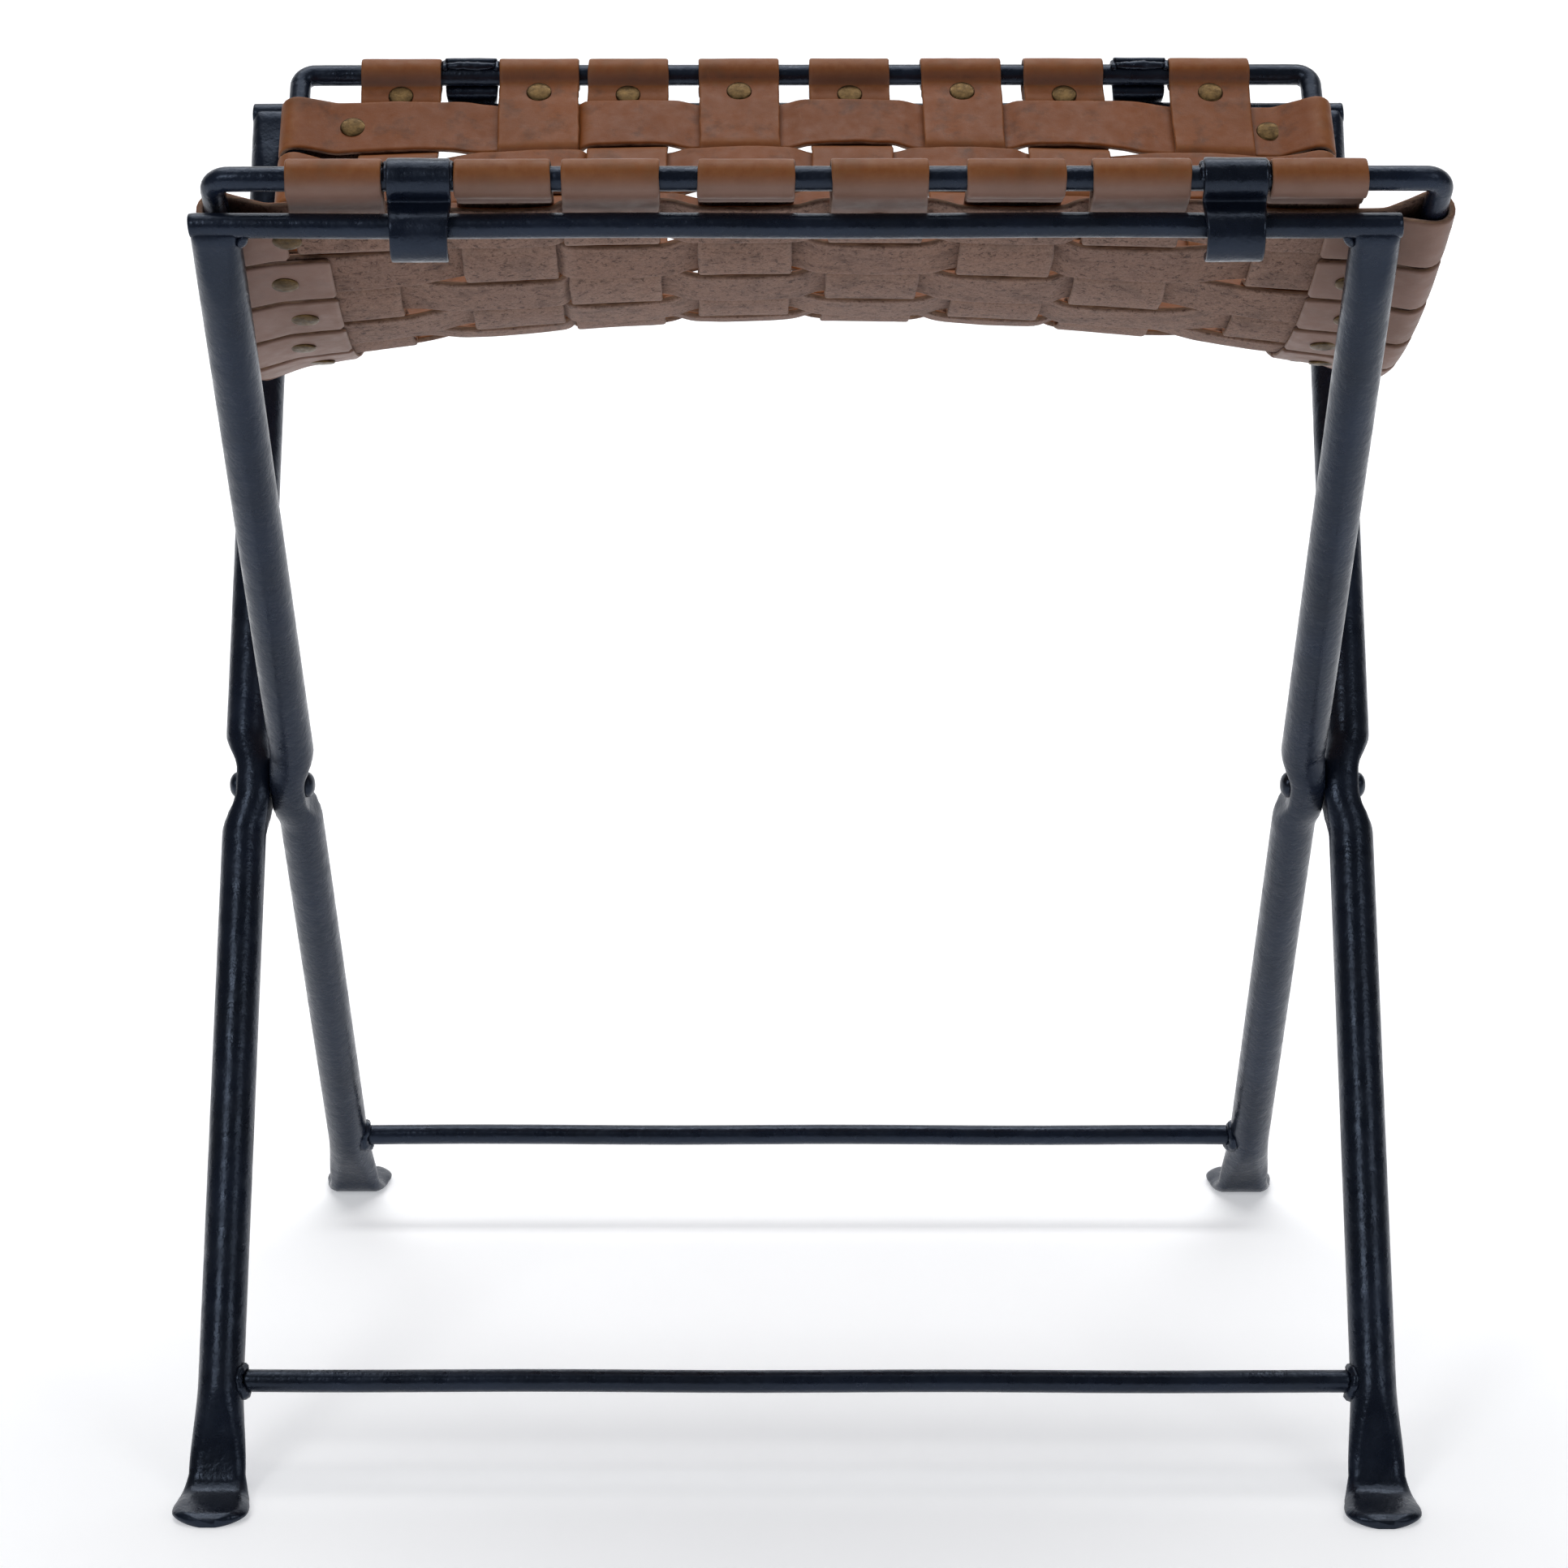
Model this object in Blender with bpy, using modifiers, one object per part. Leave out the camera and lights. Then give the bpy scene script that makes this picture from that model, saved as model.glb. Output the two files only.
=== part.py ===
"""Magazine rack: a folding pair of X-legged tube frames carrying a rod cradle woven with leather straps.

Metres, +Z up. X runs along the rails, -Y is the front. The feet stand on Z = 0. Three bodies: the inner
frame (rail in front, feet behind), the outer frame (rail behind, feet in front) and the cradle.
"""
import math

import bmesh
import bpy
import numpy as np
from mathutils import Vector

# ---------------------------------------------------------------- driving dimensions
TUBE_R = 0.0095            # leg tube radius
ROD_R = 0.00475            # rail, stretcher and cradle rod radius
OUTER_HALF_X = 0.240       # outer frame: leg centre line from the middle
INNER_HALF_X = 0.218       # inner frame: leg centre line from the middle
RAIL_HALF_Y = 0.175        # leg rail from the middle, front and back
FOOT_HALF_Y = 0.168        # where a leg's centre line would meet the floor
RAIL_Z = 0.528             # leg rail height
STRETCHER_Z = 0.041        # stretcher height
GAP = 0.0003               # space between two pieces that touch or are welded

PIVOT_HALF_T = 0.0054      # a leg pressed flat at the pivot: half its thickness along X
PIVOT_HALF_W = 0.0118      # and half its width across the leg
PIVOT_PLANE_X = 0.2285     # the plane in which the two pressed legs meet
PIVOT_FLAT = 0.011         # half length of the pressed part
PIVOT_BLEND = 0.017        # length over which it turns back into a round tube
RIVET_R = 0.003            # pivot rivet shank
RIVET_RUN = 0.00008        # running clearance of the shank in the legs
RIVET_HEAD_R = 0.0056
RIVET_HEAD_H = 0.0040

TOP_HALF_T = 0.0060        # a leg's top is pressed front to back under its rail: half its thickness
TOP_TAPER = 0.032          # length over which it becomes round

FOOT_T = 0.005             # thickness of the forged foot
SHANK_HALF_W = 0.0118      # half width of the leg where it bends into the foot
SHANK_HALF_T = 0.0034      # half its thickness there
FOOT_HALF_W = 0.0157       # half width of its toe
FOOT_BEND_R = 0.013        # bend between leg and toe
FOOT_TOE = 0.028           # toe beyond the corner of that bend
FOOT_TAPER = 0.046         # length of leg over which the tube is forged flat

CRADLE_HALF_X = 0.2305     # end rod centre line from the cradle's middle
CRADLE_HALF_Y = RAIL_HALF_Y - 0.0005   # cradle rail from the middle
CRADLE_RISE = 0.0175       # cradle rail above leg rail
CRADLE_SHIFT_X = 0.0075    # the cradle sits a little to one side of the frames
CRADLE_SKEW = 0.0042       # and is a little out of square: its front rail is this far to the right, its back one to the left
CRADLE_CORNER = 0.0068     # corner bend of the cradle rod
CRADLE_LEAD = 0.004        # straight part of an end rod before the bend
SLING_DEPTH = 0.098        # end rod below the cradle rail
SLING_ARCH = 0.020         # how much shallower the sling is half way along
SLING_POWER = 1.62         # shape of the sling: 1 is a V, 2 a parabola
SLING_ROUND = 0.22         # rounding of its bottom

STRAP_T = 0.0026           # leather thickness
WRAP_R = ROD_R + GAP + STRAP_T / 2     # a strap's middle round a rod
CROSS_W = 0.0370           # cross strap width
CROSS_X = (-0.1842, -0.1212, -0.0808, -0.0302, 0.0200, 0.0710, 0.1175, 0.1838)
ROWS = 11                  # long straps
ROW_START = WRAP_R + 0.01115           # from the cradle rail to the first long strap, along the sling
ROW_GAP = 0.0044           # space between two long straps
WEAVE = 0.62 * STRAP_T      # strap centre to sling surface
FLAP_LONG = WRAP_R + 0.02815         # outside end of a cross strap that hangs over the first long strap
FLAP_SHORT = WRAP_R + 0.01085        # outside end of the others
FLAP_SIDE = 0.0410         # folded end of a long strap, from the end rod
FLAP_SIDE_SHORT = 0.0260

CAP_R = 0.0059             # leather rivet: cap radius
CAP_H = 0.0013
CAP_SHANK_R = 0.0016

HOOK_X = 0.1525            # hook centre from the cradle's middle
HOOK_W = 0.0240            # hook plate width
HOOK_T = 0.0028            # hook plate thickness
HOOK_CLAW_R = 0.0079       # inside radius of the claw
HOOK_LIP_FRONT = 118       # degrees below the horizontal at which the front claw ends
HOOK_LIP_BACK = 76         # the back claw is shorter, to let its rail out

CRADLE_Z = RAIL_Z + CRADLE_RISE
LEG_SPAN = RAIL_HALF_Y + FOOT_HALF_Y
LEG_ANGLE = math.atan2(LEG_SPAN, RAIL_Z)
PIVOT_Z = RAIL_Z * FOOT_HALF_Y / LEG_SPAN
PIVOT_Y = FOOT_HALF_Y - LEG_SPAN * PIVOT_Z / RAIL_Z


# ---------------------------------------------------------------- scene and helpers
for old in list(bpy.data.objects):
    bpy.data.objects.remove(old, do_unlink=True)
for old in list(bpy.data.collections):
    bpy.data.collections.remove(old)

RACK = bpy.data.collections.new("magazine_rack")
CUTTERS = bpy.data.collections.new("cutters")
bpy.context.scene.collection.children.link(RACK)
bpy.context.scene.collection.children.link(CUTTERS)


def axis_empty(name, location):
    """The parent of one body's pieces, on the joint axis that the body turns about."""
    empty = bpy.data.objects.new(name, None)
    empty.location = location
    empty.empty_display_size = 0.05
    RACK.objects.link(empty)
    return empty


INNER = axis_empty("inner_frame_axis", (0, PIVOT_Y, PIVOT_Z))
OUTER = axis_empty("outer_frame_axis", (0, PIVOT_Y, PIVOT_Z))
CRADLE = axis_empty("cradle_axis", (0, -RAIL_HALF_Y, RAIL_Z))


def material(name, colour, metallic, roughness):
    mat = bpy.data.materials.new(name)
    mat.use_nodes = True
    shader = mat.node_tree.nodes["Principled BSDF"]
    shader.inputs["Base Color"].default_value = (*colour, 1.0)
    shader.inputs["Metallic"].default_value = metallic
    shader.inputs["Roughness"].default_value = roughness
    mat.diffuse_color = (*colour, 1.0)
    return mat


IRON = material("painted_iron", (0.020, 0.024, 0.031), 0.0, 0.38)
TAN = material("tan_leather", (0.235, 0.092, 0.034), 0.0, 0.55)
BRASS = material("aged_brass", (0.36, 0.25, 0.11), 1.0, 0.42)


def new_object(name, bm, mat, body, collection=RACK):
    """The bmesh, in world space, becomes one object of the body, with its origin on the body's axis."""
    bmesh.ops.recalc_face_normals(bm, faces=bm.faces)
    if body is CRADLE:
        for vert in bm.verts:
            vert.co.x -= CRADLE_SKEW * vert.co.y / CRADLE_HALF_Y
    bmesh.ops.translate(bm, verts=bm.verts, vec=-body.location)
    mesh = bpy.data.meshes.new(name)
    bm.to_mesh(mesh)
    bm.free()
    mesh.shade_smooth()
    mesh.set_sharp_from_angle(angle=math.radians(40))
    mesh.materials.append(mat)
    obj = bpy.data.objects.new(name, mesh)
    obj.parent = body
    collection.objects.link(obj)
    return obj


def rod(name, points, body, sides=12):
    """A round bar along the points, with flat ends."""
    curve = bpy.data.curves.new(name, "CURVE")
    curve.dimensions = "3D"
    curve.twist_mode = "MINIMUM"
    spline = curve.splines.new("POLY")
    spline.points.add(len(points) - 1)
    for point, co in zip(spline.points, points):
        point.co = (*co, 1.0)
    curve.bevel_depth = ROD_R
    curve.bevel_resolution = sides // 2 - 2
    curve.use_fill_caps = True
    temp = bpy.data.objects.new(name + "_path", curve)
    CUTTERS.objects.link(temp)
    mesh = bpy.data.meshes.new_from_object(temp.evaluated_get(bpy.context.evaluated_depsgraph_get()))
    bm = bmesh.new()
    bm.from_mesh(mesh)
    bmesh.ops.remove_doubles(bm, verts=bm.verts, dist=0.00002)
    bpy.data.objects.remove(temp, do_unlink=True)
    bpy.data.curves.remove(curve)
    bpy.data.meshes.remove(mesh)
    return new_object(name, bm, IRON, body)


def loft(rings):
    """A closed body through rings that all have the same number of points."""
    bm = bmesh.new()
    loops = [[bm.verts.new(co) for co in ring] for ring in rings]
    for lower, upper in zip(loops, loops[1:]):
        for k in range(len(lower)):
            n = (k + 1) % len(lower)
            bm.faces.new((lower[k], lower[n], upper[n], upper[k]))
    bm.faces.new(loops[0][::-1])
    bm.faces.new(loops[-1])
    return bm


def revolve(profile, centre, axis, sides):
    """A body of revolution: (radius, height) pairs about the axis, first and last on it."""
    axis = Vector(axis).normalized()
    side = axis.orthogonal().normalized()
    bm = bmesh.new()
    verts = [bm.verts.new(Vector(centre) + side * r + axis * h) for r, h in profile]
    edges = [bm.edges.new(pair) for pair in zip(verts, verts[1:])]
    bmesh.ops.spin(bm, geom=verts + edges, cent=centre, axis=axis, angle=2 * math.pi, steps=sides,
                   use_duplicate=False)
    bmesh.ops.remove_doubles(bm, verts=bm.verts, dist=0.00002)
    return bm


def band(name, count, place, mat, thickness):
    """A flat strip: place(k, side) gives the middle surface at station k, side -1 or +1."""
    bm = bmesh.new()
    bmesh.ops.create_grid(bm, x_segments=count - 1, y_segments=1, size=1.0)
    for vert in bm.verts:
        k = round((vert.co.x + 1) / 2 * (count - 1))
        vert.co = place(k, 1 if vert.co.y > 0 else -1)
    obj = new_object(name, bm, mat, CRADLE)
    solid = obj.modifiers.new("thickness", "SOLIDIFY")
    solid.thickness = thickness
    solid.offset = 0.0
    solid.use_even_offset = True
    return obj


def cut(obj, cutter):
    """Take the cutter out of the object."""
    cutter.hide_render = True
    cutter.display_type = "WIRE"
    boolean = obj.modifiers.new("hole", "BOOLEAN")
    boolean.operation = "DIFFERENCE"
    boolean.solver = "EXACT"
    boolean.object = cutter


def smooth_step(t):
    t = min(1.0, max(0.0, t))
    return t * t * (3 - 2 * t)


# ---------------------------------------------------------------- legs
def leg(name, side, half_x, press_x, way, cutter, body):
    """One leg. way is +1 when its foot is behind (inner frame) and -1 when it is in front."""
    run = Vector((0, way * math.sin(LEG_ANGLE), -math.cos(LEG_ANGLE)))      # down the leg
    rail = Vector((0, -way * RAIL_HALF_Y, RAIL_Z))
    toe = Vector((0, way, 0))
    corner_run = (RAIL_Z - FOOT_T / 2) / math.cos(LEG_ANGLE)
    pivot_run = (RAIL_Z - PIVOT_Z) / math.cos(LEG_ANGLE)
    turn = math.pi / 2 - LEG_ANGLE
    setback = FOOT_BEND_R * math.tan(turn / 2)
    corner = rail + run * corner_run

    start = ROD_R + GAP

    def straight(u):
        near = abs(u - pivot_run)
        press = 1 - smooth_step((near - PIVOT_FLAT) / PIVOT_BLEND)
        forge = smooth_step((u - corner_run + FOOT_TAPER) / (FOOT_TAPER - setback))
        top = 1 - smooth_step((u - start) / TOP_TAPER)
        a = TUBE_R + (PIVOT_HALF_T - TUBE_R) * press + (SHANK_HALF_W - TUBE_R) * forge
        b = TUBE_R + (PIVOT_HALF_W - TUBE_R) * press + (SHANK_HALF_T - TUBE_R) * forge + (TOP_HALF_T - TUBE_R) * top
        return (rail + run * u, run, a, b, 1 + 0.45 * press, 1 + 0.45 * max(forge, top), (press_x - half_x) * press)

    runs = [start + d * TOP_TAPER for d in (0.0, 0.3, 0.6, 1.0)]
    for d in (-1.0, -0.72, -0.5, -0.28, 0.0):
        runs.append(pivot_run - PIVOT_FLAT + d * PIVOT_BLEND)
    for d in (0.0, 0.28, 0.5, 0.72, 1.0):
        runs.append(pivot_run + PIVOT_FLAT + d * PIVOT_BLEND)
    for d in (1.0, 0.75, 0.55, 0.38, 0.22):
        runs.append(corner_run - setback - d * (FOOT_TAPER - setback))
    runs.append(corner_run - setback)
    # (centre, direction, half width along X, half width across, flattening of each, shift along X)
    stations = [straight(u) for u in runs]

    normal = Vector((0, way * math.cos(LEG_ANGLE), math.sin(LEG_ANGLE)))     # towards the bend's centre
    centre = corner - run * setback + normal * FOOT_BEND_R
    for k in (1, 2, 3):
        angle = turn * k / 3
        heading = run * math.cos(angle) + normal * math.sin(angle)
        across = normal * math.cos(angle) - run * math.sin(angle)
        a = SHANK_HALF_W + (0.93 * FOOT_HALF_W - SHANK_HALF_W) * k / 3
        b = SHANK_HALF_T + (FOOT_T / 2 - SHANK_HALF_T) * k / 3
        stations.append((centre - across * FOOT_BEND_R, heading, a, b, 1.0, 1.45, 0.0))
    for ahead, wide in ((0.40, 1.0), (0.66, 1.0), (0.86, 0.85), (0.965, 0.6), (1.0, 0.38)):
        place = corner + toe * (setback + (FOOT_TOE - setback) * ahead)
        stations.append((place, toe, wide * FOOT_HALF_W, FOOT_T / 2, 1.0, 1.45, 0.0))

    rings = []
    for middle, heading, a, b, flat_x, flat_w, shift in stations:
        across = Vector((0, -heading.z, heading.y))
        ring = []
        for k in range(16):
            angle = 2 * math.pi * (k + 0.5) / 16
            px = a * max(-1.0, min(1.0, flat_x * math.cos(angle) / math.cos(math.pi / 16)))
            pw = b * max(-1.0, min(1.0, flat_w * math.sin(angle) / math.cos(math.pi / 16)))
            ring.append(middle + Vector((side * (half_x + shift) + px, 0, 0)) + across * pw)
        rings.append(ring)
    obj = new_object(name, loft(rings), IRON, body)
    cut(obj, cutter)
    return obj


hole_half = 0.03
for side in (-1, 1):
    word = "left" if side < 0 else "right"
    hole_r = (RIVET_R + RIVET_RUN) / math.cos(math.pi / 20)
    hole = [(0, -hole_half), (hole_r, -hole_half), (hole_r, hole_half), (0, hole_half)]
    pivot = (side * PIVOT_PLANE_X, PIVOT_Y, PIVOT_Z)
    cutter = new_object(f"pivot_hole_{word}", revolve(hole, pivot, (1, 0, 0), 20), IRON, INNER, CUTTERS)
    leg(f"inner_leg_{word}", side, INNER_HALF_X, PIVOT_PLANE_X - PIVOT_HALF_T - GAP / 2, 1, cutter, INNER)
    leg(f"outer_leg_{word}", side, OUTER_HALF_X, PIVOT_PLANE_X + PIVOT_HALF_T + GAP / 2, -1, cutter, OUTER)
    thick = 2 * PIVOT_HALF_T + GAP                 # from the meeting plane to under each head
    head = [(0.0035, RIVET_HEAD_H * 0.86), (0.0050, RIVET_HEAD_H * 0.5), (RIVET_HEAD_R, 0.0), (RIVET_R, 0.0)]
    outline = [(0, thick + RIVET_HEAD_H)] + [(r, thick + h) for r, h in head]
    outline += [(r, -thick - h) for r, h in reversed(head)] + [(0, -thick - RIVET_HEAD_H)]
    new_object(f"pivot_rivet_{word}", revolve(outline, pivot, (side, 0, 0), 20), IRON, INNER)


# ---------------------------------------------------------------- rails and stretchers
def cross_rod(name, half, y, z, body):
    return rod(name, [(-half, y, z), (half, y, z)], body, sides=16)


def leg_point(z, way):
    return -way * RAIL_HALF_Y + way * LEG_SPAN * (1 - z / RAIL_Z)


cross_rod("inner_top_rail", INNER_HALF_X + TUBE_R, -RAIL_HALF_Y, RAIL_Z, INNER)
cross_rod("outer_top_rail", OUTER_HALF_X + TUBE_R, RAIL_HALF_Y, RAIL_Z, OUTER)
cross_rod("inner_stretcher", INNER_HALF_X - TUBE_R - GAP, leg_point(STRETCHER_Z, 1), STRETCHER_Z, INNER)
cross_rod("outer_stretcher", OUTER_HALF_X - TUBE_R - GAP, leg_point(STRETCHER_Z, -1), STRETCHER_Z, OUTER)


# ---------------------------------------------------------------- the sling's surface
class Section:
    """The sling's curve across the rack at one X: a point and its inward normal at a length along it."""

    def __init__(self, depth):
        t = np.linspace(-1, 1, 241)
        self.y = CRADLE_HALF_Y * t
        level = (t * t + SLING_ROUND ** 2) ** (SLING_POWER / 2) - SLING_ROUND ** SLING_POWER
        self.z = -depth * (1 - level / level[-1])
        self.s = np.concatenate([[0], np.cumsum(np.hypot(np.diff(self.y), np.diff(self.z)))])
        self.ty, self.tz = np.gradient(self.y, self.s), np.gradient(self.z, self.s)
        self.length = float(self.s[-1])

    def at(self, s, offset=0.0):
        y, z = np.interp(s, self.s, self.y), np.interp(s, self.s, self.z)
        ty, tz = np.interp(s, self.s, self.ty), np.interp(s, self.s, self.tz)
        size = math.hypot(ty, tz)
        return float(y - tz / size * offset), float(z + ty / size * offset)

    def row(self, j, part):
        """Length along the curve at the given part (-0.5 to 0.5) of long strap j's pitch."""
        pitch = (self.length - 2 * ROW_START) / ROWS
        return ROW_START + (j + 0.5 + part) * pitch


SECTIONS = {}


def section(x):
    depth = round(SLING_DEPTH - SLING_ARCH * (1 - (x / CRADLE_HALF_X) ** 2), 5)
    if depth not in SECTIONS:
        SECTIONS[depth] = Section(depth)
    return SECTIONS[depth]


def over(i, j):
    """+1 where cross strap i lies inside long strap j, -1 where it lies outside it."""
    return 1 if (i + j) % 2 else -1


# ---------------------------------------------------------------- cradle rod
END = section(CRADLE_HALF_X)
for word, way in (("front", -1), ("back", 1)):
    half = CRADLE_HALF_X - CRADLE_CORNER - CRADLE_LEAD - GAP
    rod(f"cradle_{word}_rail", [(CRADLE_SHIFT_X - half, way * CRADLE_HALF_Y, CRADLE_Z),
                                (CRADLE_SHIFT_X + half, way * CRADLE_HALF_Y, CRADLE_Z)], CRADLE)
for word, side in (("left", -1), ("right", 1)):
    path = [(CRADLE_SHIFT_X + side * (CRADLE_HALF_X - CRADLE_CORNER - CRADLE_LEAD), -CRADLE_HALF_Y, CRADLE_Z)]
    for k in range(5):
        angle = math.pi / 2 * k / 4
        y, z = END.at(CRADLE_CORNER * (1 - math.cos(angle)))
        path.append((CRADLE_SHIFT_X + side * (CRADLE_HALF_X - CRADLE_CORNER * (1 - math.sin(angle))),
                     y, CRADLE_Z + z))
    middle = []
    for k in range(1, 16):
        y, z = END.at(CRADLE_CORNER + (END.length - 2 * CRADLE_CORNER) * k / 16)
        middle.append((CRADLE_SHIFT_X + side * CRADLE_HALF_X, y, CRADLE_Z + z))
    rod(f"cradle_end_{word}", path + middle + [(x, -y, z) for x, y, z in reversed(path)], CRADLE, sides=10)


# ---------------------------------------------------------------- straps across the rack
def wrap_angle(s, offset):
    """How far past the normal a strap must follow its rod, to leave it straight for (s, offset)."""
    return math.atan2(s, offset) - math.acos(WRAP_R / math.hypot(s, offset))


def end_path(sec, mirror, long_flap, inside):
    """The looped end of a cross strap, from its free end over the rail to the first long strap.

    Returns its middle line, and the rivet as two points on its faces, both as (y, z)."""
    if long_flap:
        rivet, main, stop = WRAP_R + 0.01515, -WEAVE, FLAP_LONG
    else:
        rivet, main, stop = WRAP_R + 0.00735, (STRAP_T + GAP) / 2 * (1 if inside > 0 else -0.2), FLAP_SHORT
    flap = main - STRAP_T - GAP
    settle = rivet - CAP_R - 3 * GAP
    free, near = sec.at(stop, flap), sec.at(settle, flap)
    points = [free, near]
    base = math.atan2(sec.ty[0], -sec.tz[0])                      # direction of the inward normal
    first = base + math.pi + wrap_angle(settle, -flap)
    last = base - wrap_angle(settle, main)
    for k in range(10):
        angle = first + (last - first) * k / 9
        points.append((-CRADLE_HALF_Y + WRAP_R * math.cos(angle), WRAP_R * math.sin(angle)))
    points += [sec.at(settle, main), sec.at(ROW_START - 0.001, main)]
    along = (rivet - settle) / (stop - settle)
    chord = Vector((free[0] - near[0], free[1] - near[1]))
    normal = Vector((-chord.y, chord.x)).normalized()
    middle = Vector(near) + chord * along
    rivet_at = [middle - normal * (STRAP_T / 2), middle + normal * (STRAP_T * 1.5 + GAP)]
    if mirror:
        points = [(-y, z) for y, z in points]
        rivet_at = [Vector((-p.x, p.y)) for p in rivet_at]
    return points, rivet_at


def strap_rivet(name, strap, x, outer, inner, inner_cap):
    """A rivet through both layers of a strap's looped end, in a hole that is cut for it."""
    outer, inner = (Vector((CRADLE_SHIFT_X + x, y, CRADLE_Z + z)) for y, z in (outer, inner))
    axis, deep = (inner - outer).normalized(), (inner - outer).length
    lift = 2.5 * GAP                                              # the strap curves a little under a cap
    cap = [(0, -lift - CAP_H), (CAP_R * 0.68, -lift - CAP_H * 0.72), (CAP_R, -lift), (CAP_SHANK_R, -lift)]
    if inner_cap:
        end = [(r, deep - h) for r, h in reversed(cap)]
    else:
        end = [(CAP_SHANK_R, deep - GAP), (0, deep - GAP)]
    new_object(name, revolve(cap + end, outer, axis, 10), BRASS, CRADLE)
    hole_r, far = CAP_SHANK_R + GAP, 0.002
    hole = revolve([(0, -far), (hole_r, -far), (hole_r, deep + far), (0, deep + far)], outer, axis, 10)
    cut(strap, new_object(name + "_hole", hole, BRASS, CRADLE, CUTTERS))


for i, x in enumerate(CROSS_X):
    odd = i % 2 == 0                                              # first, third, fifth and seventh strap

    def strap_line(at_x):
        """The middle line of the strap at one X, and its two rivets."""
        sec = section(at_x)
        start, front_rivet = end_path(sec, False, odd, over(i, 0))
        finish, back_rivet = end_path(sec, True, False, over(i, ROWS - 1))
        pitch = sec.row(1, 0) - sec.row(0, 0)
        flat = 0.5 - ROW_GAP / pitch / 2
        woven = [sec.at(sec.row(j, part), over(i, j) * WEAVE) for j in range(ROWS) for part in (-flat, flat)]
        return start + woven + finish[::-1], front_rivet, back_rivet

    lines = {edge: strap_line(x + edge * CROSS_W / 2)[0] for edge in (-1, 1)}

    def place(k, edge):
        y, z = lines[edge][k]
        return (CRADLE_SHIFT_X + x + edge * CROSS_W / 2, y, CRADLE_Z + z)

    strap = band(f"cross_strap_{i + 1}", len(lines[1]), place, TAN, STRAP_T)
    _, front_rivet, back_rivet = strap_line(x)
    strap_rivet(f"front_rivet_{i + 1}", strap, x, *front_rivet, not odd)
    strap_rivet(f"back_rivet_{i + 1}", strap, x, *back_rivet, True)


# ---------------------------------------------------------------- straps along the rack
def side_end(side, j, bulge):
    """The folded end of long strap j at one end rod, as (x, offset) from its free end."""
    i = 0 if side < 0 else len(CROSS_X) - 1
    main, flap = -over(i, j) * WEAVE, -WEAVE - STRAP_T - GAP
    inner = abs(CROSS_X[i]) + CROSS_W / 2 + 0.010
    fold = FLAP_SIDE_SHORT if i == j == 0 else FLAP_SIDE          # one end stops short of a cross strap's flap
    points = [(CRADLE_HALF_X - fold, flap), (max(inner, CRADLE_HALF_X - fold + 0.004), flap)]
    for k in range(9):
        angle = -math.pi / 2 - 0.2 + (math.pi + 0.4) * k / 8
        reach = WRAP_R + 1.6 * GAP + bulge * max(0.0, -math.sin(angle))
        points.append((CRADLE_HALF_X + reach * math.cos(angle), reach * math.sin(angle)))
    points.append((inner, main))
    return [(side * x, offset) for x, offset in points]


for j in range(ROWS):
    def edge_at(x, edge, offset):
        """A point of the strap's middle surface at one of its edges."""
        sec = section(max(-CRADLE_HALF_X, min(CRADLE_HALF_X, x)))
        pitch = sec.row(1, 0) - sec.row(0, 0)
        return sec.at(sec.row(j, edge * (0.5 - ROW_GAP / pitch / 2)), offset)

    low, high, centre = (Vector(edge_at(CRADLE_HALF_X, edge, 0)) for edge in (-1, 1, 0))
    bulge = ((low + high) / 2 - centre).length                    # how much the rod curves under the strap
    stations = side_end(-1, j, bulge)
    for i, x in enumerate(CROSS_X):
        half = CROSS_W / 2 + 0.0004
        stations += [(x - half, -over(i, j) * WEAVE), (x + half, -over(i, j) * WEAVE)]
    stations += side_end(1, j, bulge)[::-1]

    def place(k, edge):
        x, offset = stations[k]
        y, z = edge_at(x, edge, offset)
        return (CRADLE_SHIFT_X + x, y, CRADLE_Z + z)

    band(f"long_strap_{j + 1}", len(stations), place, TAN, STRAP_T)


# ---------------------------------------------------------------- hooks
def hook(name, side, way, lip):
    """A plate round the cradle rail, pinched in and curled round the leg rail. u is outwards, w upwards."""
    mid = ROD_R + GAP + HOOK_T / 2
    shift = RAIL_HALF_Y - CRADLE_HALF_Y
    points = []
    for k in range(8):
        angle = math.radians(112 - 177 * k / 7)
        points.append((mid * math.cos(angle) - shift, CRADLE_RISE + mid * math.sin(angle)))
    claw_r = HOOK_CLAW_R + HOOK_T / 2
    claw_w = ROD_R + GAP - HOOK_CLAW_R
    claw_u = 0.0012
    first = (claw_u + claw_r * math.cos(math.radians(72)), claw_w + claw_r * math.sin(math.radians(72)))
    last = points[-1]
    points.append(((last[0] + first[0]) / 2 - 0.0022, (last[1] + first[1]) / 2 + 0.0001))
    for k in range(9):
        angle = math.radians(72 - (72 + lip) * k / 8)
        points.append((claw_u + claw_r * math.cos(angle), claw_w + claw_r * math.sin(angle)))

    def place(k, edge):
        u, w = points[k]
        return (CRADLE_SHIFT_X + side * HOOK_X + edge * HOOK_W / 2, way * (RAIL_HALF_Y + u), RAIL_Z + w)

    band(name, len(points), place, IRON, HOOK_T)


for side, word in ((-1, "left"), (1, "right")):
    hook(f"hook_front_{word}", side, -1, HOOK_LIP_FRONT)
    hook(f"hook_back_{word}", side, 1, HOOK_LIP_BACK)
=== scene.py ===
"""Magazine rack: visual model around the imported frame. Metres, +Z up, X along the rails, -Y is the front."""
import math

import bmesh
import bpy
import numpy as np
from mathutils import Matrix, Vector, noise


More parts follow.
